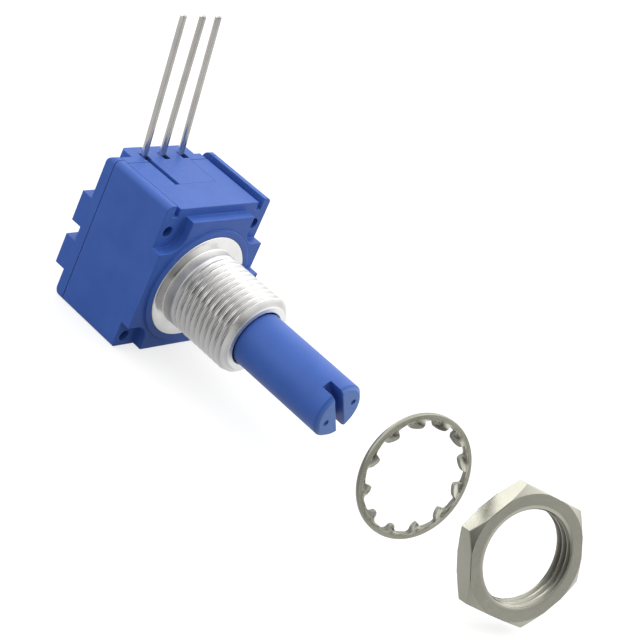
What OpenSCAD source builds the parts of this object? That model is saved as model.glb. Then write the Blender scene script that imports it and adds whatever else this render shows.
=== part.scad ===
// Rotary potentiometer for panel mounting, with a threaded bushing, a slotted shaft and three wire leads.
// The shaft points forward along -Y, the leads point up along +Z, and the origin lies on the shaft's axis
// in the bushing's mounting face. The lock washer and the nut lie loose in front of the shaft.

/* [Housing] */
// Width of the moulded housing
housing_width = 15.7; // [15.2:0.1:20]
// Distance from the shaft's axis down to the underside
axis_height = 7.8; // [7.6:0.1:10]
// Distance from the shaft's axis up to the shelf between the rails
shelf_height = 8.3; // [8:0.1:10]
// Depth of the front housing behind its boss, back to the cover joint
housing_depth = 8.8; // [8:0.1:14]
// How far the boss stands forward of the housing's front
boss_height = 1.2; // [1:0.1:2]
// How far the boss lies behind the bushing's mounting face
boss_setback = 0.3; // [0.1:0.05:0.5]
// Distance of the four corner holes from the housing's sides and underside
hole_inset = 1.25; // [1:0.05:1.4]
// Diameter of the corner holes
hole_diameter = 1.3; // [0.8:0.1:1.6]
// Radius of the notch round each corner hole
notch_radius = 1.9; // [1.2:0.1:2.2]
// Thickness of the two side rails
rail_thickness = 1.1; // [0.8:0.1:1.4]
// Height of the side rails above the shelf
rail_height = 1.4; // [1:0.1:2]
// Height of the raised pad above the shelf
pad_height = 1; // [0.6:0.1:1.5]
// Gap between the raised pad and each rail
pad_gap = 0.75; // [0.4:0.05:1]
// Rounding of the rails' outer top edges
rail_round = 0.6; // [0.2:0.1:0.8]
// Rounding of the long bottom edges
bottom_round = 0.3; // [0.1:0.1:0.6]
// Width of the raised collar round the bushing's flange
collar_width = 0.75; // [0.4:0.05:0.9]
// How far the collar lies behind the bushing's mounting face
collar_setback = 0.05; // [0.02:0.01:0.08]
// Width of the groove along the joint with the rear cover
seam_width = 0.1; // [0.05:0.05:0.3]
// Depth of the groove along the joint with the rear cover
seam_depth = 0.06; // [0.04:0.01:0.2]
// Radius of the rotor's chamber
chamber_radius = 6.3; // [6.2:0.1:6.6]
// Length of the stop in the chamber, along the shaft
stop_length = 2; // [1.6:0.1:3]
// Angle that the stop in the chamber covers
stop_angle = 30; // [16:1:40]

/* [Locating lug] */
// Thickness of the locating lug, from the housing's side inwards
lug_thickness = 1.2; // [0.8:0.1:1.6]
// Width of the locating lug along the housing's side
lug_width = 2.9; // [1.5:0.1:4]
// How far the lug stands forward of the bushing's mounting face
lug_reach = 0.9; // [0.5:0.1:1.5]

/* [Rear cover] */
// Thickness of the cover plate
cover_thickness = 1.25; // [1:0.05:2]
// Rounding of the cover's rear top and bottom edges
cover_round = 0.9; // [0.3:0.1:1]
// Height of each of the rear feet
foot_height = 3.65; // [2:0.05:4]
// Gap between the upper and the lower feet
foot_gap = 1.75; // [1:0.05:3]
// Height of the gap's middle against the shaft's axis
foot_offset = -0.2; // [-0.5:0.1:0.5]
// Width of each rear foot, from the housing's side inwards
foot_width = 2.6; // [1.5:0.1:2.9]
// How far the rear feet stand behind the cover plate
foot_reach = 1.45; // [0.8:0.05:2]
// Width of the terminal housing on the cover
shroud_width = 9.5; // [9:0.1:9.8]
// How far the terminal housing stands behind the cover plate
shroud_reach = 1.65; // [1.5:0.05:3]
// Distance from the leads' inner ends down to the terminal housing's underside
shroud_drop = 1.2; // [0.8:0.1:2]
// Rounding of the terminal housing's upright rear edges
shroud_round = 0.5; // [0.2:0.1:0.8]
// Width of the tongue that locks into the raised pad
tongue_width = 5.55; // [3:0.05:7]
// How far the tongue lies to the right of the shaft's axis
tongue_offset = 0.57; // [0:0.01:0.8]
// Length of the tongue in front of the cover joint
tongue_length = 4.45; // [2:0.05:6]
// Open slot along the left side of the tongue
tongue_slot = 0.7; // [0.2:0.05:0.75]
// Depth of the corner posts below the housing's front
post_setback = 2; // [1:0.1:4]

/* [Bushing] */
// Outer diameter of the bushing's thread
thread_diameter = 9.525; // [9:0.005:10.4]
// Length of the bushing in front of its mounting face
bushing_length = 9.525; // [6:0.005:13]
// Chamfer at the thread's front end
thread_chamfer = 0.5; // [0.2:0.05:0.7]
// Length of the plain shank between the mounting face and the thread
thread_shank = 1.3; // [0.8:0.1:3]
// Pitch of the thread
thread_pitch = 0.79375; // [0.6:0.00625:1.25]
// Depth of the thread
thread_depth = 0.42; // [0.2:0.02:0.5]
// Diameter of the mounting flange
flange_diameter = 12.5; // [11.8:0.1:12.6]
// Thickness of the mounting flange
flange_thickness = 1; // [0.6:0.1:1.3]
// Width over the corners of the bushing's eight-sided root
root_diameter = 10.6; // [10:0.1:11.2]
// Length of the root behind the flange
root_length = 1.6; // [1:0.1:2.2]

/* [Shaft] */
// Diameter of the shaft
shaft_diameter = 6.35; // [6:0.005:6.6]
// Distance from the mounting face to the shaft's tip
shaft_reach = 22.225; // [16:0.005:26]
// Chamfer at the shaft's tip
tip_chamfer = 0.4; // [0.2:0.05:0.8]
// Length of the shaft's relief inside the bushing's mouth
relief_length = 1.2; // [0.6:0.1:2]
// Depth of that relief
relief_depth = 0.2; // [0.1:0.05:0.4]
// Width of the screwdriver slot
slot_width = 1.1; // [0.6:0.05:1.6]
// Depth of the screwdriver slot
slot_depth = 1.8; // [1:0.1:4]
// Turn of the screwdriver slot away from upright, at rest
slot_turn = 34; // [0:1:180]
// Distance of the index marks from the shaft's axis
mark_offset = 1.85; // [1.6:0.05:2.2]
// Size of the index marks
mark_radius = 0.35; // [0.2:0.05:0.5]
// Depth of the index marks
mark_depth = 0.2; // [0.1:0.05:0.4]
// Diameter of the driving end that carries the rotor
drive_diameter = 4.6; // [4:0.1:5]
// Width across the driving end's two flats
drive_flats = 3.4; // [2.6:0.1:3.8]
// Distance of the seal in front of the mounting face
seal_distance = 2.5; // [1.5:0.1:5]
// Thickness of the seal's round section
seal_section = 0.86; // [0.6:0.02:1]

/* [Retaining ring] */
// Thickness of the retaining ring
clip_thickness = 0.5; // [0.3:0.05:0.8]
// Outer diameter of the retaining ring
clip_diameter = 8.6; // [7.6:0.1:9.6]
// Diameter of the shaft's groove under the retaining ring
clip_groove = 4.8; // [4:0.1:5.6]
// Angle of the retaining ring's opening
clip_opening = 80; // [40:5:120]

/* [Rotor and wiper] */
// Diameter of the rotor's disc
rotor_diameter = 10; // [9.6:0.1:10.4]
// Diameter of the rotor's hub
rotor_hub = 8; // [6.4:0.1:9]
// Thickness of the rotor's disc
rotor_thickness = 1.8; // [1.4:0.1:2.4]
// How far the rotor's stop stands out of its disc
rotor_stop = 0.85; // [0.5:0.05:0.95]
// Angle that the rotor's stop covers
rotor_stop_angle = 30; // [16:1:40]
// Thickness of the rotor's closed rear wall
rotor_wall = 0.8; // [0.5:0.1:1.2]
// Space behind the rotor for the wiper's fingers
wiper_space = 0.75; // [0.5:0.05:1.5]
// Thickness of the wiper's spring metal
wiper_thickness = 0.15; // [0.1:0.01:0.25]
// Width of each wiper finger
finger_width = 0.5; // [0.3:0.05:0.7]
// Height of the wiper's plate on the rotor
wiper_plate = 1.5; // [0.8:0.1:2]
// Distance of the fingers' roots above the shaft's axis
finger_root = 0.5; // [0:0.1:1]
// Half the length of each finger's contact face
finger_lift = 0.25; // [0.15:0.01:0.3]

/* [Resistance element] */
// Thickness of the element's substrate
substrate_thickness = 0.8; // [0.5:0.05:1.2]
// Thickness of the printed tracks
track_thickness = 0.05; // [0.02:0.01:0.1]
// Inner radius of the resistive track
track_inner = 3.7; // [3.6:0.1:3.9]
// Width of the resistive track
track_width = 0.8; // [0.6:0.1:1.2]
// Inner radius of the collector ring
collector_inner = 2.2; // [1.6:0.1:2.4]
// Width of the collector ring
collector_width = 0.9; // [0.5:0.1:1]
// Angle that each end pad reaches past the middle of its lead
pad_margin = 6; // [5:0.5:8]

/* [Leads] */
// Diameter of the lead wire
lead_diameter = 0.64; // [0.5:0.02:0.8]
// Spacing of the three leads
lead_spacing = 2.85; // [2.5:0.05:2.95]
// How far the centre lead lies to the right of the shaft's axis
lead_offset = 0.3; // [0:0.05:0.35]
// Distance of the leads behind the cover joint, where they leave the pad
lead_setback = 1.2; // [1:0.05:1.3]
// Distance of the outermost lead's inner end from the shaft's axis
lead_circle = 5.575; // [5.5:0.025:5.7]
// How far the leads' inner ends stand in front of the substrate
lead_end = 0.2; // [0.1:0.05:0.25]
// Height of the leads above the raised pad
lead_reach = 15.4; // [4:0.1:25]
// Lean of the leads towards the rear
lead_lean = 8; // [0:0.5:8]
// Lean of the left, centre and right lead to the right
lead_splay = [0, 0.8, -0.4]; // [-0.8:0.1:0.8]
// Radius of the bend inside the terminal housing
lead_bend = 0.6; // [0.45:0.05:0.7]
// Width of the slots that the leads come out of
lead_slot = 0.9; // [0.8:0.05:1.1]
// Open length of those slots in front of the leads
slot_ahead = 0.55; // [0.3:0.05:0.7]
// Open length of those slots behind the leads
slot_behind = 0.12; // [0.1:0.02:0.3]

/* [Lock washer] */
// Outer diameter of the lock washer
washer_diameter = 13.2; // [12.8:0.1:18]
// Thickness of the lock washer
washer_thickness = 0.55; // [0.3:0.05:0.8]
// Width of the washer's plain rim
washer_rim = 0.7; // [0.5:0.1:1.1]
// Number of teeth
tooth_count = 12; // [8:1:14]
// Width of each tooth
tooth_width = 1.4; // [0.8:0.1:1.8]
// Twist of each tooth out of the washer's plane
tooth_twist = 22; // [5:1:30]
// Gap between the thread and the teeth
tooth_clearance = 0.3; // [0.2:0.05:0.6]
// Distance of the loose washer's middle in front of the mounting face
washer_stand_off = 32.8; // [29:0.1:36]
// How far the loose washer lies to the right of the shaft's axis
washer_right = 0.1; // [-2:0.1:2]
// How far the loose washer lies above the shaft's axis
washer_up = 0.2; // [-2:0.1:2]
// Turn of the loose washer about the upright
washer_turn = -19.8; // [-40:0.1:40]
// Tilt of the loose washer about the crosswise line
washer_tilt = -18; // [-40:0.1:40]
// Turn of the loose washer about its own axis
washer_roll = 11; // [-15:0.5:15]

/* [Mounting nut] */
// Width of the nut across its flats
nut_flats = 12.7; // [12.2:0.1:16]
// Thickness of the nut
nut_thickness = 2.38; // [1.5:0.01:4]
// Gap between the thread's outside and the nut's bore
nut_clearance = 0.06; // [0.03:0.01:0.1]
// Depth of the countersinks in the nut's bore
nut_countersink = 0.28; // [0.1:0.02:0.5]
// How far the chamfer's circle on the nut's faces lies outside the flats
nut_face_margin = 0.1; // [0.05:0.05:0.4]
// Slope of the chamfer on the nut's corners
nut_chamfer_angle = 30; // [15:1:40]
// Distance of the loose nut's middle in front of the mounting face
nut_stand_off = 44.9; // [43:0.1:60]
// How far the loose nut lies to the right of the shaft's axis
nut_right = 3.4; // [-4:0.1:4]
// How far the loose nut lies above the shaft's axis
nut_up = -0.5; // [-2:0.1:2]
// Turn of the loose nut about the upright
nut_turn = -23.5; // [-40:0.1:40]
// Tilt of the loose nut about the crosswise line
nut_tilt = -24; // [-40:0.1:40]
// Turn of the loose nut about its own axis
nut_roll = -25.8; // [-30:0.1:30]

/* [Hidden] */
$fn = 96;

// Clearances: pieces that turn, pieces that are pressed together, and wires in their holes
running_gap = 0.03;
turning_gap = 0.25;
press_gap = 0.02;
wire_gap = 0.04;
contact_gap = 0.05;
cut = 1;

// Housing
half_width = housing_width / 2;
rail_top = shelf_height + rail_height;
pad_top = shelf_height + pad_height;
pad_half = half_width - rail_thickness - pad_gap;
housing_front = boss_setback + boss_height;
joint_y = housing_front + housing_depth;
cover_rear = joint_y + cover_thickness;
hole_x = half_width - hole_inset;
hole_z = axis_height - hole_inset;
post_radius = hole_diameter / 2 - press_gap;
chamber_front = flange_thickness + root_length;
collar_radius = flange_diameter / 2 + collar_width;
stop_inner = rotor_diameter / 2 + turning_gap;

// Tongue of the cover in the raised pad
tongue_left = tongue_offset - tongue_width / 2;
tongue_right = tongue_offset + tongue_width / 2;
tongue_front = joint_y - tongue_length;

// Stack of the moving pieces along the shaft
substrate_front = joint_y - substrate_thickness;
track_front = substrate_front - track_thickness;
end_pad_outer = chamber_radius - 4 * contact_gap;
wiper_tip = track_front - contact_gap;
rotor_rear = track_front - wiper_space;
rotor_step = rotor_rear - rotor_thickness;
clip_gap = 0.15;
clip_front = chamber_front + clip_gap;
clip_rear = clip_front + clip_thickness;
clip_shoulder = 0.35;
rotor_front = clip_rear + clip_shoulder;
drive_rear = rotor_rear - rotor_wall - press_gap;
shaft_radius = shaft_diameter / 2;
bore_radius = shaft_radius + running_gap;
bore_chamfer = 0.15;
seal_radius = seal_section / 2;
seal_centre = bore_radius - running_gap - seal_radius;

// Leads
lead_radius = lead_diameter / 2;
lead_outermost = lead_offset + lead_spacing;
lead_root_height = sqrt(lead_circle * lead_circle - lead_outermost * lead_outermost);
track_end = atan2(lead_root_height, lead_outermost) - pad_margin;
lead_exit = joint_y + lead_setback;
lead_turn = 90 - lead_lean;
bend_top = lead_root_height + lead_bend * (1 - cos(lead_turn));
bend_rear = lead_exit - (pad_top - bend_top) * tan(lead_lean);
bend_start = bend_rear - lead_bend * sin(lead_turn);
lead_length = (pad_top + lead_reach - bend_top) / cos(lead_lean);
lead_front = substrate_front - lead_end;
bend_radius = lead_radius - press_gap;
bend_overlap = 0.1;
slot_front = lead_exit - lead_radius - slot_ahead;
slot_rear = lead_exit + lead_radius + slot_behind;
solder_top = lead_radius + 0.06;
solder_foot = lead_radius + 0.14;
function lead_x(place) = lead_offset + place * lead_spacing;

// Hardware
thread_radius = thread_diameter / 2;
thread_root = thread_radius - thread_depth;
thread_turns = floor((bushing_length - thread_chamfer - thread_shank) / thread_pitch);
groove_mouth = 0.4 * thread_pitch;
groove_floor_half = 0.12 * thread_pitch;
tooth_tip = thread_radius + tooth_clearance;
washer_inner = washer_diameter / 2 - washer_rim;
nut_bore = thread_radius + nut_clearance;

// A flat shape seen from the front, drawn out from one depth to another
module extrude_y(front, rear) {
    translate([0, rear, 0])
        rotate([90, 0, 0])
            linear_extrude(rear - front)
                children();
}

// A flat shape seen from the right, with the depth first, drawn out from one side to the other
module extrude_x(left, right) {
    translate([left, 0, 0])
        rotate([90, 0, 90])
            linear_extrude(right - left)
                children();
}

// A profile of radius and depth turned round the shaft's axis
module revolve_y() {
    rotate([-90, 0, 0])
        rotate_extrude()
            children();
}

module disc(radius, front, rear) {
    extrude_y(front, rear)
        circle(radius);
}

// What a rounding takes off an outer corner that lies at the origin
module corner_waste(radius) {
    difference() {
        translate([-radius, -radius])
            square(radius + cut);
        translate([-radius, -radius])
            circle(radius);
    }
}

module flat_ring(inner, outer) {
    difference() {
        circle(outer);
        circle(inner);
    }
}

// Wedge from the axis outwards, centred on an angle that is counted from the right
module wedge(radius, middle, angle) {
    reach = radius / cos(angle / 2);
    rotate(middle)
        polygon([
            [0, 0],
            [reach * cos(angle / 2), -reach * sin(angle / 2)],
            [reach * cos(angle / 2), reach * sin(angle / 2)]
        ]);
}

module ring_sector(inner, outer, middle, angle) {
    intersection() {
        flat_ring(inner, outer);
        wedge(outer, middle, angle);
    }
}

module at_corner_holes() {
    for (x = [-1, 1], z = [-1, 1])
        translate([x * hole_x, z * hole_z])
            children();
}

// Cross-section of the housing: box, two rails and the raised pad between them, all drawn in by an inset
module housing_section(inset) {
    side_x = half_width - inset;
    bottom_z = inset - axis_height;
    difference() {
        union() {
            translate([-side_x, bottom_z])
                square([2 * side_x, shelf_height - inset - bottom_z]);
            for (side = [0, 1])
                mirror([side, 0])
                    translate([half_width - rail_thickness, 0])
                        square([rail_thickness - inset, rail_top - inset]);
            translate([-pad_half, 0])
                square([2 * pad_half, pad_top - inset]);
        }
        for (side = [0, 1])
            mirror([side, 0]) {
                translate([side_x, rail_top - inset])
                    corner_waste(rail_round);
                translate([side_x, bottom_z])
                    mirror([0, 1])
                        corner_waste(bottom_round);
            }
    }
}

// Notch that opens to the side and to the top or bottom round each corner hole
module corner_notches() {
    for (x = [0, 1], z = [0, 1])
        mirror([x, 0])
            mirror([0, z])
                translate([hole_x, hole_z]) {
                    circle(notch_radius);
                    translate([-notch_radius, 0])
                        square([2 * half_width, 2 * half_width]);
                    translate([0, -notch_radius])
                        square([2 * half_width, 2 * half_width]);
                }
}

module boss_section() {
    difference() {
        translate([-half_width, -axis_height])
            square([housing_width, axis_height + shelf_height]);
        corner_notches();
        for (side = [0, 1])
            mirror([side, 0])
                translate([half_width, -axis_height])
                    mirror([0, 1])
                        corner_waste(bottom_round);
    }
}

module front_housing() {
    color("royalblue") {
        difference() {
            union() {
                extrude_y(housing_front, joint_y - seam_width)
                    housing_section(0);
                extrude_y(housing_front, joint_y)
                    housing_section(seam_depth);
                extrude_y(boss_setback, housing_front + boss_height / 2)
                    boss_section();
                disc(collar_radius, collar_setback, housing_front);
            }
            disc(chamber_radius, chamber_front, joint_y + cut);
            disc(flange_diameter / 2 + press_gap, boss_setback - cut, flange_thickness);
            extrude_y(boss_setback, chamber_front + cut)
                circle(d = root_diameter + 2 * press_gap, $fn = 8);
            extrude_y(boss_setback - cut, joint_y + cut)
                at_corner_holes()
                    circle(d = hole_diameter);
            translate([tongue_left - tongue_slot, tongue_front - press_gap, shelf_height])
                cube([tongue_width + tongue_slot + press_gap, tongue_length + cut, pad_height + cut]);
        }
        locating_lug();
        extrude_y(rotor_rear - stop_length, rotor_rear)
            ring_sector(stop_inner, chamber_radius + press_gap, 90, stop_angle);
    }
}

// Lug on the right of the bushing that keeps the body from turning behind a panel
module locating_lug() {
    translate([half_width - lug_thickness, -lug_reach, -lug_width / 2])
        cube([lug_thickness, lug_reach + boss_setback + boss_height / 2, lug_width]);
}

// Cover plate with its rear top and bottom edges rounded
module cover_plate() {
    intersection() {
        extrude_y(joint_y, cover_rear)
            housing_section(0);
        extrude_x(-half_width, half_width)
            difference() {
                translate([joint_y, -axis_height])
                    square([cover_thickness, axis_height + rail_top]);
                translate([cover_rear, rail_top])
                    corner_waste(cover_round);
                translate([cover_rear, -axis_height])
                    mirror([0, 1])
                        corner_waste(cover_round);
            }
    }
}

// Housing round the leads' bends, flush with the raised pad
module terminal_shroud() {
    shroud_rear = cover_rear + shroud_reach;
    shroud_bottom = lead_root_height - shroud_drop;
    translate([lead_offset, 0, shroud_bottom])
        linear_extrude(pad_top - shroud_bottom)
            difference() {
                translate([-shroud_width / 2, joint_y])
                    square([shroud_width, shroud_rear - joint_y]);
                for (side = [0, 1])
                    mirror([side, 0])
                        translate([shroud_width / 2, shroud_rear])
                            corner_waste(shroud_round);
            }
}

// Room for one lead: its bend behind the substrate, then its way up to the pad
module lead_passage() {
    room_bottom = lead_root_height - lead_slot / 2;
    room_top = bend_top + lead_slot;
    translate([-lead_slot / 2, joint_y - cut, room_bottom])
        cube([lead_slot, slot_rear - joint_y + cut, room_top - room_bottom]);
    translate([-lead_slot / 2, slot_front, room_bottom])
        cube([lead_slot, slot_rear - slot_front, pad_top + cut - room_bottom]);
}

// Tongue on top that reaches forward into the raised pad
module locking_tongue() {
    translate([tongue_left, tongue_front, shelf_height + press_gap])
        cube([tongue_width, tongue_length + cover_thickness / 2, pad_height - press_gap]);
}

module rear_foot() {
    translate([half_width - foot_width, joint_y, foot_gap / 2])
        cube([foot_width, cover_thickness + foot_reach, foot_height]);
}

module rear_cover() {
    color("royalblue") {
        difference() {
            union() {
                cover_plate();
                terminal_shroud();
                locking_tongue();
                for (x = [0, 1], z = [0, 1])
                    mirror([x, 0, 0])
                        translate([0, 0, foot_offset])
                            mirror([0, 0, z])
                                rear_foot();
            }
            for (place = [-1, 0, 1])
                translate([lead_x(place), 0, 0])
                    lead_passage();
            translate([tongue_left - tongue_slot, joint_y - cut, shelf_height])
                cube([tongue_slot, slot_front + lead_slot / 2 - joint_y + cut, pad_height + cut]);
        }
        extrude_y(housing_front + post_setback, joint_y + cover_thickness / 2)
            at_corner_holes()
                circle(post_radius);
    }
}

// Outline of one turn of the thread, seen as radius and depth, about the middle of its groove
function thread_groove(depth) = [
    [thread_radius, depth - groove_mouth],
    [thread_root, depth - groove_floor_half],
    [thread_root, depth + groove_floor_half],
    [thread_radius, depth + groove_mouth]
];

module bushing() {
    color("silver") {
        revolve_y()
            polygon([
                [bore_radius, chamber_front],
                [bore_radius, -bushing_length + bore_chamfer],
                [bore_radius + bore_chamfer, -bushing_length],
                [thread_radius - thread_chamfer, -bushing_length],
                [thread_radius, -bushing_length + thread_chamfer],
                for (turn = [thread_turns - 1 : -1 : 0])
                    each thread_groove(-thread_shank - (turn + 0.5) * thread_pitch),
                [thread_radius, 0],
                [flange_diameter / 2, 0],
                [flange_diameter / 2, flange_thickness],
                [thread_radius - thread_chamfer, flange_thickness],
                [thread_radius - thread_chamfer, chamber_front]
            ]);
        extrude_y(flange_thickness / 2, chamber_front)
            difference() {
                circle(d = root_diameter, $fn = 8);
                circle((bore_radius + thread_radius - thread_chamfer) / 2);
            }
    }
}

// Two flats on the driving end, with the same form in the rotor
module drive_section(gap) {
    intersection() {
        circle(drive_diameter / 2 + gap);
        square([drive_diameter + cut, drive_flats + 2 * gap], center = true);
    }
}

module shaft() {
    groove_front = -seal_distance - seal_radius - running_gap;
    groove_rear = -seal_distance + seal_radius + running_gap;
    groove_floor = seal_centre - seal_radius - running_gap;
    relief_front = -bushing_length - contact_gap;
    relief_rear = -bushing_length + relief_length;
    color("royalblue")
        difference() {
            union() {
                revolve_y()
                    polygon([
                        [0, -shaft_reach],
                        [shaft_radius - tip_chamfer, -shaft_reach],
                        [shaft_radius, -shaft_reach + tip_chamfer],
                        [shaft_radius, relief_front],
                        [shaft_radius - relief_depth, relief_front],
                        [shaft_radius - relief_depth, relief_rear],
                        [shaft_radius, relief_rear],
                        [shaft_radius, groove_front],
                        [groove_floor, groove_front],
                        [groove_floor, groove_rear],
                        [shaft_radius, groove_rear],
                        [shaft_radius, clip_front - press_gap],
                        [clip_groove / 2, clip_front - press_gap],
                        [clip_groove / 2, clip_rear + press_gap],
                        [shaft_radius, clip_rear + press_gap],
                        [shaft_radius, rotor_front],
                        [0, rotor_front]
                    ]);
                extrude_y(rotor_front - clip_shoulder / 2, drive_rear)
                    drive_section(0);
            }
            extrude_y(-shaft_reach - cut, -shaft_reach + slot_depth)
                rotate(slot_turn)
                    square([slot_width, shaft_diameter + cut], center = true);
            extrude_y(-shaft_reach - cut, -shaft_reach + mark_depth)
                for (side = [0, 180])
                    rotate(slot_turn + side)
                        translate([mark_offset, 0])
                            circle(mark_radius);
        }
}

module shaft_seal() {
    color("dimgray")
        translate([0, -seal_distance, 0])
            revolve_y()
                translate([seal_centre, 0])
                    circle(seal_radius);
}

// Open ring, pushed on from above
module retaining_ring() {
    color("gainsboro")
        extrude_y(clip_front, clip_rear)
            difference() {
                flat_ring(clip_groove / 2 + press_gap, clip_diameter / 2);
                wedge(clip_diameter, -90, clip_opening);
            }
}

module rotor() {
    color("white")
        difference() {
            union() {
                disc(rotor_hub / 2, rotor_front, rotor_rear);
                disc(rotor_diameter / 2, rotor_step, rotor_rear);
                extrude_y(rotor_step, rotor_rear)
                    ring_sector(rotor_hub / 2, rotor_diameter / 2 + rotor_stop, -90, rotor_stop_angle);
            }
            extrude_y(rotor_front - cut, rotor_rear - rotor_wall)
                drive_section(press_gap);
        }
}

// One spring finger that reaches down to its track, bent over at the contact
module wiper_finger(x, tip) {
    extrude_x(x - finger_width / 2, x + finger_width / 2)
        polygon([
            [rotor_rear, finger_root + wiper_plate / 2],
            [rotor_rear + wiper_thickness, finger_root + wiper_plate / 2],
            [rotor_rear + wiper_thickness, finger_root],
            [wiper_tip, tip + finger_lift],
            [wiper_tip, tip - finger_lift],
            [wiper_tip - finger_lift, tip - 2 * finger_lift],
            [wiper_tip - finger_lift - wiper_thickness, tip - 2 * finger_lift],
            [wiper_tip - wiper_thickness, tip - finger_lift],
            [wiper_tip - wiper_thickness, tip + finger_lift],
            [rotor_rear, finger_root]
        ]);
}

module wiper() {
    collector_radius = collector_inner + collector_width / 2;
    track_radius = track_inner + track_width / 2;
    finger_pitch = 2 * finger_width;
    color("gold") {
        translate([-1.5 * finger_pitch, rotor_rear, finger_root])
            cube([3 * finger_pitch, wiper_thickness, wiper_plate]);
        wiper_finger(0, -collector_radius);
        for (x = [-finger_pitch, finger_pitch])
            wiper_finger(x, -sqrt(track_radius * track_radius - x * x));
    }
}

module at_leads() {
    for (place = [-1, 0, 1])
        translate([lead_x(place), lead_root_height])
            children();
}

module element_substrate() {
    color("ivory")
        extrude_y(substrate_front, joint_y)
            difference() {
                circle(chamber_radius - contact_gap);
                at_leads()
                    circle(lead_radius + wire_gap);
            }
}

module resistive_track() {
    color("black")
        extrude_y(track_front, substrate_front)
            difference() {
                flat_ring(track_inner, track_inner + track_width);
                wedge(2 * track_inner, 90, 180 - 2 * track_end);
            }
}

module collector_track() {
    color("lightgray")
        extrude_y(track_front, substrate_front)
            difference() {
                union() {
                    circle(collector_inner + collector_width);
                    translate([lead_offset - lead_diameter, 0])
                        square([2 * lead_diameter, lead_root_height + lead_diameter]);
                }
                circle(collector_inner);
                at_leads()
                    circle(lead_radius + wire_gap);
            }
}

module end_pads() {
    color("lightgray")
        extrude_y(track_front, substrate_front)
            difference() {
                for (side = [0, 1])
                    mirror([side, 0]) {
                        pad_end = atan2(lead_root_height, abs(lead_x(1 - 2 * side))) + pad_margin;
                        ring_sector(track_inner, end_pad_outer, (track_end + pad_end) / 2, pad_end - track_end);
                    }
                at_leads()
                    circle(lead_radius + wire_gap);
            }
}

module solder_joints() {
    color("silver")
        for (place = [-1, 0, 1])
            translate([lead_x(place), 0, lead_root_height])
                revolve_y()
                    polygon([
                        [lead_radius + wire_gap / 2, track_front],
                        [lead_radius + wire_gap / 2, lead_front],
                        [solder_top, lead_front],
                        [solder_foot, track_front]
                    ]);
}

// Round wire that leaves the substrate to the rear, bends upwards and comes out of the pad
module terminal(place) {
    color("silver")
        translate([lead_x(place), 0, lead_root_height])
            rotate([0, lead_splay[place + 1], 0]) {
                disc(lead_radius, lead_front, bend_start + bend_overlap);
                translate([0, bend_start, lead_bend])
                    rotate([90, 0, 90])
                        rotate([0, 0, -90])
                            rotate_extrude(angle = lead_turn)
                                translate([lead_bend, 0])
                                    circle(bend_radius);
                translate([0, bend_rear, bend_top - lead_root_height])
                    rotate([-lead_lean, 0, 0])
                        translate([0, 0, -bend_overlap])
                            cylinder(h = lead_length + bend_overlap, r = lead_radius);
            }
}

module terminal_left() {
    terminal(-1);
}

module terminal_centre() {
    terminal(0);
}

module terminal_right() {
    terminal(1);
}

// Tooth that points at the axis, turned about its own length
module washer_tooth() {
    reach = washer_inner + washer_rim / 2 - tooth_tip;
    translate([tooth_tip, 0, 0])
        rotate([-tooth_twist, 0, 0])
            translate([0, -tooth_width / 2, -washer_thickness / 2])
                cube([reach, tooth_width, washer_thickness]);
}

// Lies loose in front of the shaft, turned away from its axis
module lock_washer() {
    color("darkgray")
        translate([washer_right, -washer_stand_off, washer_up])
            rotate([washer_tilt, 0, 0])
                rotate([90, 0, washer_turn]) {
                    translate([0, 0, -washer_thickness / 2])
                        linear_extrude(washer_thickness)
                            flat_ring(washer_inner, washer_diameter / 2);
                    for (tooth = [0 : tooth_count - 1])
                        rotate(washer_roll + tooth * 360 / tooth_count)
                            washer_tooth();
                }
}

// Six-sided nut centred on the origin, its corners chamfered on both faces
module nut_blank() {
    corner_radius = nut_flats / 2 / cos(30);
    face_radius = nut_flats / 2 + nut_face_margin;
    chamfer_radius = corner_radius + nut_face_margin;
    chamfer_drop = (chamfer_radius - face_radius) * tan(nut_chamfer_angle);
    half = nut_thickness / 2;
    intersection() {
        extrude_y(-half, half)
            rotate(nut_roll)
                circle(corner_radius, $fn = 6);
        revolve_y()
            polygon([
                [0, half],
                [face_radius, half],
                [chamfer_radius, half - chamfer_drop],
                [chamfer_radius, chamfer_drop - half],
                [face_radius, -half],
                [0, -half]
            ]);
    }
}

// Bore with a countersink at each end
module nut_hole() {
    half = nut_thickness / 2;
    revolve_y()
        polygon([
            [0, half + cut],
            [nut_bore + nut_countersink + cut, half + cut],
            [nut_bore, half - nut_countersink],
            [nut_bore, -half + nut_countersink],
            [nut_bore + nut_countersink + cut, -half - cut],
            [0, -half - cut]
        ]);
}

// Lies loose in front of the washer, turned away from the shaft's axis
module mounting_nut() {
    color("darkgray")
        translate([nut_right, -nut_stand_off, nut_up])
            rotate([nut_tilt, 0, 0])
                rotate([0, 0, nut_turn])
                    difference() {
                        nut_blank();
                        nut_hole();
                    }
}

front_housing();
rear_cover();
bushing();
shaft();
shaft_seal();
retaining_ring();
rotor();
wiper();
element_substrate();
resistive_track();
collector_track();
end_pads();
solder_joints();
terminal_left();
terminal_centre();
terminal_right();
lock_washer();
mounting_nut();
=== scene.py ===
import math

import bpy
import numpy as np
from mathutils import Matrix, Vector


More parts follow.
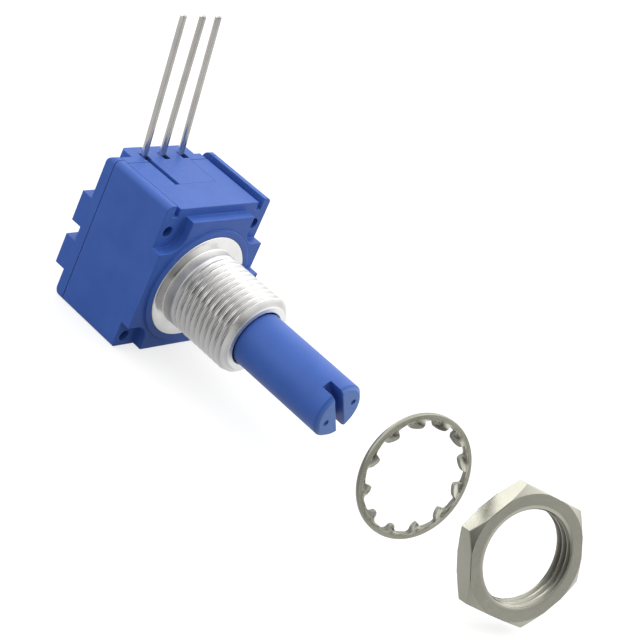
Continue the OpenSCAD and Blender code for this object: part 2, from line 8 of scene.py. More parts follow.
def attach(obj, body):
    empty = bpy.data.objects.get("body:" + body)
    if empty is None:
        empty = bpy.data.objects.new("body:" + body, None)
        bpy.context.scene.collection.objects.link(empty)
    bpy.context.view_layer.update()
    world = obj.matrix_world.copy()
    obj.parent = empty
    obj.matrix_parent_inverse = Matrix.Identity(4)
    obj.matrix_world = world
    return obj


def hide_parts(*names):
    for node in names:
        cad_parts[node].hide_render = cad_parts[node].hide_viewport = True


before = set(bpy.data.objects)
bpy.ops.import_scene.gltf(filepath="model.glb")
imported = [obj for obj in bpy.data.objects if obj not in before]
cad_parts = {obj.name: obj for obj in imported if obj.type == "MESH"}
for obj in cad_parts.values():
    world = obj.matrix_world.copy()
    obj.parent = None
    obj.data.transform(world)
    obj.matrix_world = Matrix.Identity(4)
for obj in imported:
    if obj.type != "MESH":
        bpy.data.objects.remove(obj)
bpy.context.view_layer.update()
print("frame loaded:", len(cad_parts), "nodes")

mm = 0.001
turn = 2 * math.pi
tiny = 1e-6


# object in the scene whose mesh has these points, in metres, and faces
def addPiece(name, points, faces):
    mesh = bpy.data.meshes.new(name)
    mesh.from_pydata(points.tolist(), [], faces)
    piece = bpy.data.objects.new(name, mesh)
    bpy.context.scene.collection.objects.link(piece)
    return piece


# smooth skin, sharp only at edges that turn by more than sharpDegrees; a mark is a number from 0 to 1 at each point
# that the metal finishes read: the shade mark as painted shade, matt as a rougher and paler surface
def smoothPiece(piece, sharpDegrees, **marks):
    mesh = piece.data
    mesh.polygons.foreach_set("use_smooth", np.ones(len(mesh.polygons), dtype=bool))
    mesh.set_sharp_from_angle(angle=math.radians(sharpDegrees))
    for key, values in marks.items():
        mark = mesh.attributes.new(key, "FLOAT", "POINT")
        mark.data.foreach_set("value", values.astype(np.float32).ravel())
    mesh.update()


def cellCorners(grid):
    return np.stack([grid[:-1, :-1], grid[:-1, 1:], grid[1:, 1:], grid[1:, :-1]], axis=2)


# mesh from a grid of points in millimetres: each point joins its neighbours in the next row and column, and the grid
# closes both ways; the map runs u round and v along
def closedGridPiece(name, points, recess, matt, sharpDegrees, turned=False):
    rows, columns = points.shape[:2]
    index = np.arange(rows * columns).reshape(rows, columns)
    index = np.vstack([index, index[:1]])
    index = np.hstack([index, index[:, :1]])
    quads = cellCorners(index).reshape(-1, 4)
    u, v = np.meshgrid(np.arange(columns + 1) / columns, np.arange(rows + 1) / rows)
    corners = cellCorners(np.stack([u, v], axis=-1)).reshape(-1, 4, 2)
    if turned:
        quads, corners = quads[:, ::-1], corners[:, ::-1]
    piece = addPiece(name, points.reshape(-1, 3) * mm, quads.tolist())
    piece.data.uv_layers.new(name="lathe").data.foreach_set("uv", corners.astype(np.float32).ravel())
    smoothPiece(piece, sharpDegrees, recess=recess, matt=matt)
    return piece


# screw thread: 0 at the crest, 1 at the root, straight flanks between a flat at the crest and one at the root
def threadDepth(phase, crestFlat, rootFlat):
    height = np.abs(((phase + 0.5) % 1.0) - 0.5) * 2
    return np.clip((height - crestFlat) / (1 - crestFlat - rootFlat), 0, 1)


# 0 before start, 1 after end, and a smooth cubic between them
def smoothStep(value, start, end):
    s = np.clip((value - start) / (end - start), 0, 1)
    return s * s * (3 - 2 * s)


# bushing: profile of radius and depth turned about Y, its outside cut by a right-handed helix that fades in behind
# the shank; the front chamfer is a cone that takes away what lies outside it
bushingForm = {
    "boreRadius": 3.205, "boreChamfer": 0.15, "crestRadius": 4.7625, "threadDepth": 0.38, "pitch": 0.79375,
    "crestFlat": 0.10, "rootFlat": 0.12, "shankMiddle": -0.6, "shankEnd": -0.85, "fullDepth": -1.9, "front": -9.525,
    "frontChamfer": 0.88, "chamferSlope": 1.6, "flangeRadius": 6.25, "flangeThickness": 1.0, "flangeRound": 0.12,
    "rootRadius": 4.88, "rear": 2.6, "footFillet": 0.12, "aroundSteps": 192, "threadStep": 0.05, "arcRows": 5,
    "rearRows": 4, "sharpDegrees": 32, "shankShade": 0.55, "shankMatt": 0.5, "footFade": 0.25, "mattEnd": -3.2,
    "faceMattFrom": 0.15, "faceMattTo": 0.02,
}


def makeBushing(form):
    angle = np.linspace(0, turn, form["aroundSteps"], endpoint=False)
    crest, inner, front = form["crestRadius"], form["boreRadius"], form["front"]
    arc = np.linspace(0, math.pi / 2, form["arcRows"])
    fillet, edge = form["footFillet"], form["flangeRound"]
    foot = np.c_[crest + fillet * (1 - np.sin(arc)), -fillet * (1 - np.cos(arc))]
    rim = np.c_[form["flangeRadius"] - edge * (1 - np.sin(arc)), edge * (1 - np.cos(arc))]
    threadRows = np.arange(form["shankEnd"], front, -form["threadStep"])
    profile = np.vstack([
        np.linspace((inner, form["rear"]), (form["rootRadius"], form["rear"]), form["rearRows"]),
        [(form["rootRadius"], form["flangeThickness"])],
        [(form["flangeRadius"], form["flangeThickness"])],
        rim[::-1],
        [((form["flangeRadius"] + crest) / 2, 0)],
        foot,
        [(crest, form["shankMiddle"])],
        np.c_[np.full(len(threadRows), crest), threadRows],
        [(crest - form["frontChamfer"], front)],
        [(inner + form["boreChamfer"], front)],
        [(inner, front + form["boreChamfer"])],
        [(inner, front / 2)],
    ])
    radius = np.repeat(profile[:, :1], len(angle), axis=1)
    depth = np.repeat(profile[:, 1:], len(angle), axis=1)
    ahead = depth <= form["shankEnd"]
    fadeIn = smoothStep(-depth, -form["shankEnd"], -form["fullDepth"])
    phase = depth / form["pitch"] + angle / turn
    cutWeight = fadeIn * (ahead & (radius >= crest - tiny))
    cut = cutWeight * threadDepth(phase, form["crestFlat"], form["rootFlat"])
    radius = radius - form["threadDepth"] * cut
    cone = crest - form["frontChamfer"] + form["chamferSlope"] * (depth - front)
    radius = np.where(ahead, np.minimum(radius, cone), radius)
    points = np.stack([radius * np.cos(angle), depth, radius * np.sin(angle)], axis=-1)
    pastFoot = smoothStep(-depth, 0.0, form["footFade"])
    # painted shade: darker in the thread grooves and on the plain shank between flange and thread
    recess = np.maximum(cut, form["shankShade"] * pastFoot * (1 - fadeIn))
    dull = pastFoot * (1 - smoothStep(-depth, -form["shankEnd"], -form["mattEnd"]))
    face = smoothStep(-depth, -front - form["faceMattFrom"], -front - form["faceMattTo"])
    matt = np.maximum(face, form["shankMatt"] * dull)
    return closedGridPiece("bushing_threaded", points, recess, matt, form["sharpDegrees"])


# loose pieces: own frame with the front along -Y, turned about Z and then about X, then moved to their place
def placeLoose(points, place):
    turned = Matrix.Rotation(math.radians(place["turn"]), 3, "Z")
    tilted = Matrix.Rotation(math.radians(place["tilt"]), 3, "X")
    return points @ np.array(tilted @ turned).T + np.array(place["centre"])


# nut: each angle has a section whose outer radius is that of a hexagon, chamfered by a cone; the bore is countersunk
# by a cone at each end and has helical grooves cut outward from the solid's hole; grooves and one side get painted
# shade
nutForm = {
    "halfFlats": 6.35, "halfThickness": 1.19, "faceRadius": 6.45, "chamferDegrees": 30, "mouthRadius": 5.02,
    "coneSlope": 0.9, "minorRadius": 4.8225, "threadDepth": 0.24, "pitch": 0.79375, "crestFlat": 0.25,
    "rootFlat": 0.15, "roll": -25.8, "aroundSteps": 240, "boreStep": 0.035, "sideRows": 7, "edgeRound": 0.05,
    "faceShares": (0.25, 0.5, 0.75, 0.97), "chamferShares": (0.0, 0.25, 0.5, 0.75, 1.0), "sharpDegrees": 28,
    "grooveShade": 0.35, "sideShadeAmount": 0.65, "sideShadeToward": 5, "sideShadeFrom": 0.35, "sideShadeTo": 0.9,
    "place": {"centre": (3.4, -44.9, -0.5), "turn": -23.5, "tilt": -24.0},
}


def makeNut(form):
    start = math.radians(form["roll"])
    angle = start + np.linspace(0, turn, form["aroundSteps"], endpoint=False)
    sixth = turn / 6
    outer = form["halfFlats"] / np.cos(((angle - start) % sixth) - sixth / 2)
    half, face = form["halfThickness"], form["faceRadius"]
    mouth, soft = form["mouthRadius"], form["edgeRound"]
    slope = math.tan(math.radians(form["chamferDegrees"]))
    flatOuter = np.minimum(outer, face)
    ones = np.ones_like(angle)

    def heightAt(radius):
        return half - np.maximum(radius - face, 0) * slope

    frontRadii = [mouth * ones, (mouth + soft) * ones]
    frontRadii += [mouth + soft + (flatOuter - soft - mouth) * s for s in form["faceShares"]]
    frontRadii += [flatOuter + (outer - soft - flatOuter) * s for s in form["chamferShares"]]
    frontRadii = np.array(frontRadii)
    frontDepth = -heightAt(frontRadii)
    frontDepth[0] += soft / 2
    sideSteps = np.linspace(0, 1, form["sideRows"])[:, None]
    top = -heightAt(outer) + soft
    sideDepth = top - 2 * top * sideSteps
    sideRadii = np.repeat(outer[None, :], len(sideSteps), axis=0)
    boreDepth = np.arange(half - soft, -half + soft, -form["boreStep"])[:, None] * ones
    phase = boreDepth / form["pitch"] + (angle - start) / turn
    cut = threadDepth(phase, form["crestFlat"], form["rootFlat"])
    thread = form["minorRadius"] + form["threadDepth"] * cut
    cone = mouth - form["coneSlope"] * (half - np.abs(boreDepth))
    radius = np.vstack([frontRadii, sideRadii, frontRadii[::-1], np.maximum(thread, cone)])
    depth = np.vstack([frontDepth, sideDepth, -frontDepth[::-1], boreDepth])
    points = np.stack([radius * np.cos(angle), depth, radius * np.sin(angle)], axis=-1)
    # painted shade: darker in the thread grooves and on one side of the bore
    groove = np.where(cone > thread, 0, form["grooveShade"] * cut)
    toward = np.cos(angle - math.radians(form["sideShadeToward"]))
    sideShade = form["sideShadeAmount"] * smoothStep(toward, form["sideShadeFrom"], form["sideShadeTo"])
    recess = np.zeros_like(radius)
    recess[-len(boreDepth):] = groove + sideShade
    placed = placeLoose(points, form["place"])
    return closedGridPiece("nut_threaded", placed, recess, np.zeros_like(recess), form["sharpDegrees"], True)


# lock washer: flat ring whose inner edge steps in at each tooth; a tooth rises with the distance from its own middle
# line, more and more from bendFrom in to bendTo
washerForm = {
    "outerRadius": 6.6, "gapRadius": 5.88, "tipRadius": 5.14, "thickness": 0.55, "teeth": 12, "stepsPerTooth": 56,
    "toothHalf": 0.70, "flankSoft": 0.22, "tipCrown": 0.2, "twistDegrees": 29, "bendFrom": 6.1, "bendTo": 5.55,
    "fadeShare": 0.95, "edgeRound": 0.07, "edgeRows": 7, "faceSteps": 14, "roll": 11, "sharpDegrees": 40,
    "innerEdgeShade": 0.42, "edgeMatt": 0.5, "rimShade": 0.3, "bendShade": 0.35,
    "place": {"centre": (0.1, -32.8, 0.2), "turn": -19.8, "tilt": -18.0},
}


def makeWasher(form):
    step = np.linspace(0, turn, form["teeth"] * form["stepsPerTooth"], endpoint=False)
    angle = step + math.radians(form["roll"])
    pitch = turn / form["teeth"]
    away = ((step + pitch / 2) % pitch) - pitch / 2
    tip, toothHalf, flank = form["tipRadius"], form["toothHalf"], form["flankSoft"]
    middle = (form["gapRadius"] + tip) / 2
    across = away * middle
    gap = smoothStep(np.abs(across), toothHalf - flank, toothHalf + flank)
    inner = tip + (form["gapRadius"] - tip) * gap
    inner = inner + form["tipCrown"] * (1 - gap) * (across / toothHalf) ** 2
    soft, half = form["edgeRound"], form["thickness"] / 2
    s = np.linspace(0, 1, form["faceSteps"])[:, None]
    faceRadii = inner + soft + (form["outerRadius"] - 2 * soft - inner) * s
    faceHeight = half * np.ones_like(faceRadii)
    arc = np.linspace(0, math.pi, form["edgeRows"])[1:-1, None]
    ones = np.ones_like(angle)
    outerRadii = form["outerRadius"] - soft + soft * np.sin(arc) * ones
    innerRadii = inner + soft - soft * np.sin(arc)
    edgeHeight = half * np.cos(arc) * ones
    radius = np.vstack([faceRadii, outerRadii, faceRadii[::-1], innerRadii])
    height = np.vstack([faceHeight, edgeHeight, -faceHeight, -edgeHeight])
    bend = smoothStep(-radius, -form["bendFrom"], -form["bendTo"])
    lean = math.tan(math.radians(form["twistDegrees"]))
    toothAway = np.clip(across, -toothHalf - flank, toothHalf + flank)
    onTooth = 1 - smoothStep(np.abs(across), toothHalf * form["fadeShare"], pitch * middle / 2)
    rise = -lean * toothAway * bend * onTooth
    points = np.stack([radius * np.cos(angle), -(height + rise), radius * np.sin(angle)], axis=-1)
    # painted shade: darker at the tooth bends, on the inner edge and on the outer rim
    recess = form["bendShade"] * 4 * bend * (1 - bend) * onTooth
    recess[-len(innerRadii):] = form["innerEdgeShade"]
    recess[len(faceRadii):len(faceRadii) + len(outerRadii)] = form["rimShade"]
    matt = np.zeros_like(recess)
    matt[-len(innerRadii):] = form["edgeMatt"]
    placed = placeLoose(points, form["place"])
    return closedGridPiece("washer_toothed", placed, recess, matt, form["sharpDegrees"], True)


# lead: round wire whose line runs back from the element, bends up inside the cover and rises leaning to its tip; the
# rings of points stand square to that line, the dipped part is thicker, each end closes in one point, and one side
# has a streak of painted shade
leadForm = {
    "wireRadius": 0.32, "dippedRadius": 0.37, "dipFrom": 7.4, "dipTo": 8.8, "front": 9.3, "rootHeight": 4.6,
    "bendStart": 10.318, "bendRadius": 0.6, "bendRows": 8, "exit": 11.58, "padTop": 9.3, "top": 24.85,
    "leanDegrees": 8.0, "sides": 24, "lineStep": 0.1, "smoothPasses": 30, "endRound": 0.08, "sharpDegrees": 50,
    "streakToward": (0.68, -0.73, 0.0), "streakFrom": -0.05, "streakTo": 0.6, "streakShade": 0.58,
    "wires": {
        "left": {"root": -2.55, "foot": -2.50, "tip": -2.35},
        "centre": {"root": 0.3, "foot": 0.24, "tip": 0.56},
        "right": {"root": 3.15, "foot": 3.09, "tip": 2.93},
    },
}


def unit(rows):
    return rows / np.linalg.norm(rows, axis=1, keepdims=True)


def makeLead(name, form, wire):
    lean = math.radians(form["leanDegrees"])
    sweep = np.linspace(0, math.pi / 2 - lean, form["bendRows"])
    bend = np.c_[np.full(len(sweep), wire["root"]), form["bendStart"] + form["bendRadius"] * np.sin(sweep),
                 form["rootHeight"] + form["bendRadius"] * (1 - np.cos(sweep))]
    tipDepth = form["exit"] + (form["top"] - form["padTop"]) * math.tan(lean)
    corners = np.vstack([
        [(wire["root"], form["front"], form["rootHeight"])],
        bend,
        [(wire["foot"], form["exit"], form["padTop"])],
        [(wire["tip"], tipDepth, form["top"])],
    ])
    along = np.r_[0, np.cumsum(np.linalg.norm(np.diff(corners, axis=0), axis=1))]
    steps = np.linspace(0, along[-1], int(along[-1] / form["lineStep"]))
    line = np.stack([np.interp(steps, along, corners[:, axis]) for axis in range(3)], axis=-1)
    for _ in range(form["smoothPasses"]):
        line[1:-1] = (line[:-2] + 2 * line[1:-1] + line[2:]) / 4
    ahead = unit(np.gradient(line, axis=0))
    side = unit(np.array([1.0, 0, 0]) - ahead[:, :1] * ahead)
    above = np.cross(ahead, side)
    dipped = smoothStep(line[:, 2], form["dipFrom"], form["dipTo"])
    radius = form["wireRadius"] + (form["dippedRadius"] - form["wireRadius"]) * dipped
    radius[[0, -1]] -= form["endRound"]
    angle = np.linspace(0, turn, form["sides"], endpoint=False)[:, None]
    outward = np.cos(angle) * side[:, None] + np.sin(angle) * above[:, None]
    rings = line[:, None] + radius[:, None, None] * outward
    # painted shade: a darker streak on the side facing right and front
    toward = outward @ np.array(form["streakToward"])
    streak = form["streakShade"] * smoothStep(toward, form["streakFrom"], form["streakTo"])
    count, sides = rings.shape[:2]
    index = np.arange(count * sides).reshape(count, sides)
    after = np.roll(index, -1, axis=1)
    quads = np.stack([index[:-1], after[:-1], after[1:], index[1:]], axis=-1).reshape(-1, 4)
    first = np.full(sides, count * sides)
    caps = np.vstack([np.c_[first, after[0], index[0]], np.c_[first + 1, index[-1], after[-1]]])
    points = np.vstack([rings.reshape(-1, 3), line[:1], line[-1:]]) * mm
    piece = addPiece(name, points, quads.tolist() + caps.tolist())
    smoothPiece(piece, form["sharpDegrees"], recess=np.r_[streak.ravel(), 0, 0])
    return piece


bushingPiece = makeBushing(bushingForm)
nutPiece = makeNut(nutForm)
washerPiece = makeWasher(washerForm)
leadPieces = {place: makeLead("lead_" + place, leadForm, wire) for place, wire in leadForm["wires"].items()}
for piece, node, body, slot in (
    (bushingPiece, "bushing", "body", "plated_bushing"),
    (nutPiece, "mounting_nut", "nut", "plated_nut"),
    (washerPiece, "lock_washer", "washer", "washer_steel"),
    (leadPieces["left"], "terminal_left", "body", "tinned_wire"),
    (leadPieces["centre"], "terminal_centre", "body", "tinned_wire"),
    (leadPieces["right"], "terminal_right", "body", "tinned_wire"),
):
    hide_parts(node)
    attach(piece, body)
print("turned, stamped and drawn pieces made")


# node tree of a material or world, emptied, with helpers that add, join and rescale
class Wiring:
    def __init__(self, holder):
        holder.use_nodes = True
        self.tree = holder.node_tree
        self.tree.nodes.clear()

    def add(self, kind, **settings):
        node = self.tree.nodes.new(kind)
        for key, value in settings.items():
            setattr(node, key, value)
        return node

    def join(self, source, target):
        self.tree.links.new(source, target)

    # low at start, high at end, a straight line between them and no further
    def span(self, value, low, high, start=0.3, end=0.7):
        node = self.add("ShaderNodeMapRange")
        for key, number in (("From Min", start), ("From Max", end), ("To Min", low), ("To Max", high)):
            node.inputs[key].default_value = number
        self.join(value, node.inputs["Value"])
        return node.outputs["Result"]

    def combine(self, operation, first, second):
        node = self.add("ShaderNodeMath", operation=operation)
        self.join(first, node.inputs[0])
        self.join(second, node.inputs[1])
        return node.outputs[0]


# material of one principled shader, with helpers that add nodes fed by object coordinates
class Finish(Wiring):
    def __init__(self, name):
        self.material = bpy.data.materials.new(name)
        super().__init__(self.material)
        self.shader = self.add("ShaderNodeBsdfPrincipled")
        output = self.add("ShaderNodeOutputMaterial")
        self.join(self.shader.outputs["BSDF"], output.inputs["Surface"])
        self.place = self.add("ShaderNodeTexCoord").outputs["Object"]

    def noise(self, scale, detail, rough=0.5, stretch=(1, 1, 1)):
        mapping = self.add("ShaderNodeMapping")
        mapping.inputs["Scale"].default_value = stretch
        self.join(self.place, mapping.inputs["Vector"])
        node = self.add("ShaderNodeTexNoise")
        node.inputs["Scale"].default_value = scale
        node.inputs["Detail"].default_value = detail
        node.inputs["Roughness"].default_value = rough
        self.join(mapping.outputs["Vector"], node.inputs["Vector"])
        return node.outputs["Fac"]

    def blend(self, factor, first, second):
        node = self.add("ShaderNodeMix", data_type="RGBA")
        self.join(factor, node.inputs["Factor"])
        for value, socket in ((first, node.inputs["A"]), (second, node.inputs["B"])):
            if isinstance(value, tuple):
                socket.default_value = value + (1.0,)
            else:
                self.join(value, socket)
        return node.outputs["Result"]

    # rounded look of a moulded or turned edge, and a mask that is 1 where the rounded normal leans off the face's own
    def roundEdges(self, radius):
        bevel = self.add("ShaderNodeBevel", samples=8)
        bevel.inputs["Radius"].default_value = radius * mm
        face = self.add("ShaderNodeNewGeometry").outputs["Normal"]
        dot = self.add("ShaderNodeVectorMath", operation="DOT_PRODUCT")
        self.join(bevel.outputs["Normal"], dot.inputs[0])
        self.join(face, dot.inputs[1])
        return bevel.outputs["Normal"], self.span(dot.outputs["Value"], 1.0, 0.0, start=0.75, end=0.99)

    def bump(self, height, strength, distance, normal=None):
        node = self.add("ShaderNodeBump")
        node.inputs["Strength"].default_value = strength
        node.inputs["Distance"].default_value = distance * mm
        self.join(height, node.inputs["Height"])
        if normal is not None:
            self.join(normal, node.inputs["Normal"])
        return node.outputs["Normal"]


# moulded plastic: two close tones in soft clouds, paler rounded edges as a painted highlight, a fine spark-eroded
# grain;
# a shaft's end face, where Y passes tipStart, has a paler tone as painted light
def mouldedPlastic(name, look):
    finish = Finish(name)
    inputs = finish.shader.inputs
    normal, edge = finish.roundEdges(look["edge"])
    clouds = finish.span(finish.noise(look["cloudScale"], detail=4.0), 0.0, 1.0)
    colour = finish.blend(clouds, look["dark"], look["light"])
    # paler rounded edges: a painted highlight
    edgeHighlight = finish.span(edge, 0.0, look["edgeHighlightAmount"], start=0.0, end=1.0)
    colour = finish.blend(edgeHighlight, colour, look["edgeHighlightTone"])
    # paler end face of the shaft: painted light
    if "tipStart" in look:
        split = finish.add("ShaderNodeSeparateXYZ")
        finish.join(finish.place, split.inputs[0])
        tip = finish.span(split.outputs["Y"], 1.0, 0.0, start=look["tipEnd"] * mm, end=look["tipStart"] * mm)
        colour = finish.blend(tip, colour, look["tipLitTone"])
    finish.join(colour, inputs["Base Color"])
    grain = finish.noise(look["grainScale"], detail=5.0, rough=0.6)
    finish.join(finish.span(grain, look["roughLow"], look["roughHigh"]), inputs["Roughness"])
    finish.join(finish.bump(grain, look["grainStrength"], look["grainDepth"], normal), inputs["Normal"])
    inputs["IOR"].default_value = look["ior"]
    return finish.material


# plated metal: tone drifts in clouds, brushing lines follow one stretched noise, rounded edges get a painted
# highlight, the shade mark paints shade and matt parts are rougher; lathe marks stretch the highlights along the map's
# turns
def platedMetal(name, look):
    finish = Finish(name)
    inputs = finish.shader.inputs
    normal, edge = finish.roundEdges(look["edge"])
    clouds = finish.span(finish.noise(look["cloudScale"], detail=4.0), 0.0, 1.0)
    lines = finish.noise(look["lineScale"], detail=4.0, rough=0.6, stretch=look["lineStretch"])
    colour = finish.blend(clouds, look["dark"], look["light"])
    # paler rounded edges: a painted highlight
    edgeHighlight = finish.span(edge, 0.0, look["edgeHighlightAmount"], start=0.0, end=1.0)
    colour = finish.blend(edgeHighlight, colour, look["edgeHighlightTone"])
    # darker where the shade mark is high: painted shade in hollows and on shaded sides
    recess = finish.add("ShaderNodeAttribute", attribute_name="recess").outputs["Fac"]
    shadeAmount = finish.span(recess, 0.0, look["shadeAmount"], start=0.0, end=1.0)
    colour = finish.blend(shadeAmount, colour, look["shadeTone"])
    matt = finish.add("ShaderNodeAttribute", attribute_name="matt").outputs["Fac"]
    colour = finish.blend(finish.span(matt, 0.0, 1.0, start=0.5, end=1.0), colour, look["mattTone"])
    finish.join(colour, inputs["Base Color"])
    rough = finish.span(lines, look["roughLow"], look["roughHigh"])
    dull = finish.span(matt, 0.0, look["mattRough"], start=0.0, end=1.0)
    finish.join(finish.combine("ADD", rough, dull), inputs["Roughness"])
    finish.join(finish.bump(lines, look["lineStrength"], look["lineDepth"], normal), inputs["Normal"])
    inputs["Metallic"].default_value = 1.0
    if "latheMarks" in look:
        tangent = finish.add("ShaderNodeTangent", direction_type="UV_MAP", uv_map="lathe")
        finish.join(tangent.outputs["Tangent"], inputs["Tangent"])
        inputs["Anisotropic"].default_value = look["latheMarks"]
        inputs["Anisotropic Rotation"].default_value = look["latheTurn"]
    return finish.material


# plain inner finish: two close tones in soft clouds and a fine grain
innerGrain = {"strength": 0.3, "depth": 0.01}


def speckled(name, look):
    finish = Finish(name)
    inputs = finish.shader.inputs
    grain = finish.noise(look["grainScale"], detail=5.0, rough=0.6)
    clouds = finish.span(finish.noise(look["cloudScale"], detail=3.0), 0.0, 1.0)
    finish.join(finish.blend(clouds, look["dark"], look["light"]), inputs["Base Color"])
    finish.join(finish.span(grain, look["roughLow"], look["roughHigh"]), inputs["Roughness"])
    finish.join(finish.bump(grain, innerGrain["strength"], innerGrain["depth"]), inputs["Normal"])
    inputs["Metallic"].default_value = look["metallic"]
    return finish.material


# the edge tone and its amount paint a highlight on rounded edges; the tip tone paints light on the shaft's end face
housingLook = {
    "dark": (0.0365, 0.106, 0.415), "light": (0.0445, 0.122, 0.460), "edgeHighlightTone": (0.100, 0.200, 0.590), "edge": 0.16,
    "edgeHighlightAmount": 0.45, "cloudScale": 260, "grainScale": 5200, "roughLow": 0.42, "roughHigh": 0.54,
    "grainStrength": 0.34, "grainDepth": 0.014, "ior": 1.38,
}
shaftLook = dict(
    housingLook, dark=(0.0365, 0.107, 0.415), light=(0.0445, 0.123, 0.462), edge=0.12, roughLow=0.38, roughHigh=0.48,
    tipStart=-21.9, tipEnd=-22.15, tipLitTone=(0.075, 0.18, 0.52),
)
# metal looks: the edge tone is a painted highlight, and the darkest tone, set by the shade amount, is painted shade
bushingLook = {
    "dark": (0.67, 0.667, 0.66), "light": (0.74, 0.737, 0.73), "edgeHighlightTone": (0.88, 0.87, 0.86), "edge": 0.04,
    "edgeHighlightAmount": 0.4, "cloudScale": 420, "lineScale": 900, "lineStretch": (0.5, 9.0, 0.5), "roughLow": 0.13,
    "roughHigh": 0.21, "lineStrength": 0.16, "lineDepth": 0.008, "shadeAmount": 0.75, "shadeTone": (0.46, 0.455, 0.44),
    "mattRough": 0.32, "mattTone": (0.80, 0.80, 0.79), "latheMarks": 0.3, "latheTurn": 0.25,
}
nutLook = {
    "dark": (0.362, 0.355, 0.30), "light": (0.396, 0.388, 0.328), "edgeHighlightTone": (0.52, 0.51, 0.45), "edge": 0.06,
    "edgeHighlightAmount": 0.4, "cloudScale": 350, "lineScale": 2600, "lineStretch": (1.0, 1.0, 1.0), "roughLow": 0.17,
    "roughHigh": 0.25, "lineStrength": 0.2, "lineDepth": 0.007, "shadeAmount": 0.95, "shadeTone": (0.035, 0.03, 0.024),
    "mattRough": 0.0, "mattTone": (0.52, 0.51, 0.45),
}
washerLook = dict(
    nutLook, dark=(0.37, 0.37, 0.315), light=(0.415, 0.415, 0.353), edgeHighlightTone=(0.48, 0.48, 0.43), roughLow=0.20,
    roughHigh=0.28, mattRough=0.5,
)
leadLook = dict(
    nutLook, dark=(0.68, 0.66, 0.63), light=(0.82, 0.80, 0.765), edge=0.05, lineScale=1500,
    lineStretch=(3.0, 3.0, 0.4), roughLow=0.13, roughHigh=0.22,
)
innerLooks = {
    "white_rotor_moulding": {
        "dark": (0.66, 0.65, 0.60), "light": (0.74, 0.73, 0.68), "cloudScale": 400, "grainScale": 4000,
        "roughLow": 0.4, "roughHigh": 0.55, "metallic": 0.0,
    },
    "seal_rubber": {
        "dark": (0.012, 0.012, 0.012), "light": (0.02, 0.02, 0.02), "cloudScale": 500, "grainScale": 5000,
        "roughLow": 0.6, "roughHigh": 0.8, "metallic": 0.0,
    },
    "laminate_base": {
        "dark": (0.46, 0.36, 0.20), "light": (0.54, 0.43, 0.25), "cloudScale": 700, "grainScale": 3000,
        "roughLow": 0.5, "roughHigh": 0.7, "metallic": 0.0,
    },
    "carbon_ink": {
        "dark": (0.012, 0.012, 0.012), "light": (0.025, 0.025, 0.026), "cloudScale": 900, "grainScale": 6000,
        "roughLow": 0.5, "roughHigh": 0.7, "metallic": 0.0,
    },
    "silver_ink": {
        "dark": (0.52, 0.52, 0.50), "light": (0.62, 0.62, 0.60), "cloudScale": 900, "grainScale": 5000,
        "roughLow": 0.35, "roughHigh": 0.5, "metallic": 0.8,
    },
    "spring_metal": {
        "dark": (0.50, 0.49, 0.47), "light": (0.60, 0.59, 0.57), "cloudScale": 600, "grainScale": 3500,
        "roughLow": 0.25, "roughHigh": 0.4, "metallic": 1.0,
    },
    "contact_brass": {
        "dark": (0.58, 0.40, 0.16), "light": (0.68, 0.50, 0.22), "cloudScale": 600, "grainScale": 3500,
        "roughLow": 0.22, "roughHigh": 0.35, "metallic": 1.0,
    },
}

blueHousing = mouldedPlastic("blue_moulding", housingLook)
blueShaft = mouldedPlastic("blue_shaft_moulding", shaftLook)
brightPlate = platedMetal("bright_nickel_plate", bushingLook)
nutPlate = platedMetal("warm_nickel_plate", nutLook)
washerPlate = platedMetal("warm_washer_plate", washerLook)
tinnedWire = platedMetal("tinned_wire", leadLook)
inner = {name: speckled(name, look) for name, look in innerLooks.items()}

finishOf = {
    "front_housing": blueHousing, "rear_cover": blueHousing, "shaft": blueShaft, "bushing": brightPlate,
    "shaft_seal": inner["seal_rubber"], "retaining_ring": inner["spring_metal"],
    "rotor": inner["white_rotor_moulding"], "wiper": inner["contact_brass"],
    "element_substrate": inner["laminate_base"], "resistive_track": inner["carbon_ink"],
    "collector_track": inner["silver_ink"], "end_pads": inner["silver_ink"], "solder_joints": inner["silver_ink"],
    "terminal_left": tinnedWire, "terminal_centre": tinnedWire, "terminal_right": tinnedWire,
    "lock_washer": washerPlate, "mounting_nut": nutPlate,
}


def dress(piece, material):
    piece.data.materials.clear()
    piece.data.materials.append(material)


for node, material in finishOf.items():
    dress(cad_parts[node], material)
dress(bushingPiece, brightPlate)
dress(nutPiece, nutPlate)
dress(washerPiece, washerPlate)
for piece in leadPieces.values():
    dress(piece, tinnedWire)
print("finishes set:", len(finishOf))


# floor: flat square under the body; the camera sees it lifted to white, with the object's shadow, and where the object
# mirrors it that lift falls off to the left, along X, a painted shadow seen only in reflections
floorForm = {
    "height": -7.82, "half": 900, "tone": (0.35, 0.35, 0.35), "whiteLift": 0.71, "fallFrom": 6, "fallTo": -14,
    "fallLevel": 0.1,
}


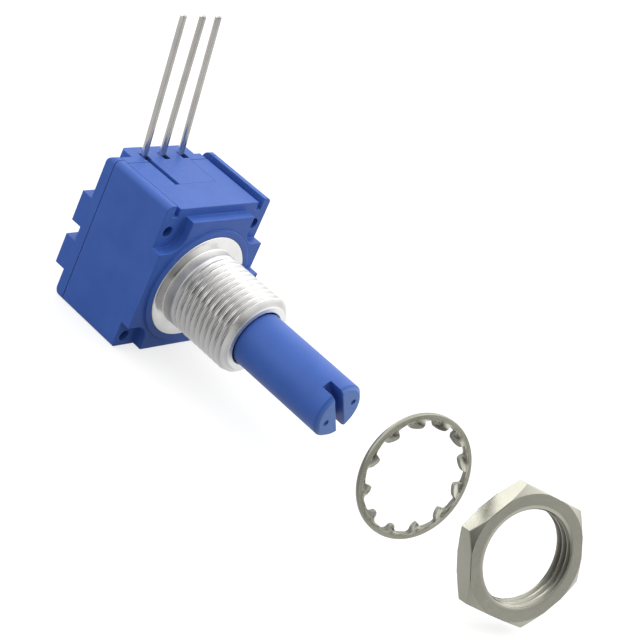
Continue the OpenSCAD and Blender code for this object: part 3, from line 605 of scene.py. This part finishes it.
def makeFloor(form):
    half, height = form["half"] * mm, form["height"] * mm
    corners = [(-half, -half, height), (half, -half, height), (half, half, height), (-half, half, height)]
    floor = addPiece("studio_floor", np.array(corners), [(0, 1, 2, 3)])
    material = bpy.data.materials.new("white_floor")
    wiring = Wiring(material)
    diffuse = wiring.add("ShaderNodeBsdfDiffuse")
    diffuse.inputs["Color"].default_value = form["tone"] + (1.0,)
    lift = wiring.add("ShaderNodeEmission")
    lift.inputs["Strength"].default_value = form["whiteLift"]
    lifted = wiring.add("ShaderNodeAddShader")
    wiring.join(diffuse.outputs[0], lifted.inputs[0])
    wiring.join(lift.outputs[0], lifted.inputs[1])
    split = wiring.add("ShaderNodeSeparateXYZ")
    wiring.join(wiring.add("ShaderNodeTexCoord").outputs["Object"], split.inputs[0])
    # painted shadow for reflections: the lift falls off to the left
    fall = wiring.span(split.outputs["X"], form["fallLevel"], 1.0, form["fallTo"] * mm, form["fallFrom"] * mm)
    path = wiring.add("ShaderNodeLightPath")
    mirrored = wiring.combine("MULTIPLY", path.outputs["Is Glossy Ray"], fall)
    choose = wiring.add("ShaderNodeMixShader")
    wiring.join(wiring.combine("MAXIMUM", path.outputs["Is Camera Ray"], mirrored), choose.inputs[0])
    wiring.join(diffuse.outputs[0], choose.inputs[1])
    wiring.join(lifted.outputs[0], choose.inputs[2])
    output = wiring.add("ShaderNodeOutputMaterial")
    wiring.join(choose.outputs[0], output.inputs["Surface"])
    dress(floor, material)


makeFloor(floorForm)

# surroundings: a plain grey room plus soft panels, given as direction, cosine where the panel begins, and level; a
# panel's light grows with the cosine between the ray and its direction, and the camera itself sees white
roomLook = {
    "plain": 0.224,
    "panels": {
        "frontRight": ((0.66, -0.66, 0.34), 0.55, 0.735), "right": ((0.94, 0.0, 0.34), 0.55, 0.63),
        "backRight": ((0.66, 0.66, 0.34), 0.55, 0.50), "back": ((0.0, 0.94, 0.34), 0.55, 0.70),
        "backLeft": ((-0.66, 0.66, 0.34), 0.55, 0.95), "left": ((-0.94, 0.0, 0.34), 0.55, 0.32),
        "highFront": ((0.0, -0.5, 0.87), 0.55, 0.50), "highRight": ((0.5, 0.0, 0.87), 0.55, 1.0),
        "highBack": ((0.0, 0.5, 0.87), 0.55, 0.15), "highLeft": ((-0.5, 0.0, 0.87), 0.55, 0.285),
        "lowBackStrip": ((0.32, 0.935, 0.15), 0.93, 1.5), "cameraShade": ((-0.535, -0.65, 0.538), 0.75, -0.24),
    },
}


def makeRoom(look):
    world = bpy.data.worlds.new("studio_room")
    bpy.context.scene.world = world
    wiring = Wiring(world)
    ray = wiring.add("ShaderNodeTexCoord").outputs["Generated"]
    plain = wiring.add("ShaderNodeValue")
    plain.outputs[0].default_value = look["plain"]
    total = plain.outputs[0]
    for toward, softFrom, level in look["panels"].values():
        dot = wiring.add("ShaderNodeVectorMath", operation="DOT_PRODUCT")
        dot.inputs[1].default_value = toward
        wiring.join(ray, dot.inputs[0])
        total = wiring.combine("ADD", total, wiring.span(dot.outputs["Value"], 0.0, level, softFrom, 1.0))
    lit, white = wiring.add("ShaderNodeBackground"), wiring.add("ShaderNodeBackground")
    for background in (lit, white):
        background.inputs["Color"].default_value = (1.0, 1.0, 1.0, 1.0)
    wiring.join(total, lit.inputs["Strength"])
    choose = wiring.add("ShaderNodeMixShader")
    wiring.join(wiring.add("ShaderNodeLightPath").outputs["Is Camera Ray"], choose.inputs[0])
    wiring.join(lit.outputs[0], choose.inputs[1])
    wiring.join(white.outputs[0], choose.inputs[2])
    output = wiring.add("ShaderNodeOutputWorld")
    wiring.join(choose.outputs[0], output.inputs["Surface"])


makeRoom(roomLook)

# camera: placed and turned by its own right, up and forward directions
cameraForm = {
    "eye": (-127.9, -93.0, 79.8), "right": (0.63028, -0.67110, 0.39035), "up": (0.11309, 0.57679, 0.80903),
    "forward": (0.76809, 0.46577, -0.43943), "lens": 93.375, "sensor": 36.0, "clipStart": 10, "clipEnd": 10000,
}


def makeCamera(form):
    data = bpy.data.cameras.new("photo_camera")
    data.lens = form["lens"]
    data.sensor_width = form["sensor"]
    data.clip_start, data.clip_end = form["clipStart"] * mm, form["clipEnd"] * mm
    camera = bpy.data.objects.new("photo_camera", data)
    axes = Matrix((form["right"], form["up"], tuple(-v for v in form["forward"]))).transposed()
    camera.matrix_world = Matrix.Translation(Vector(form["eye"]) * mm) @ axes.to_4x4()
    bpy.context.scene.collection.objects.link(camera)
    bpy.context.scene.camera = camera


makeCamera(cameraForm)
bpy.context.scene.view_settings.view_transform = "Standard"
print("studio set")
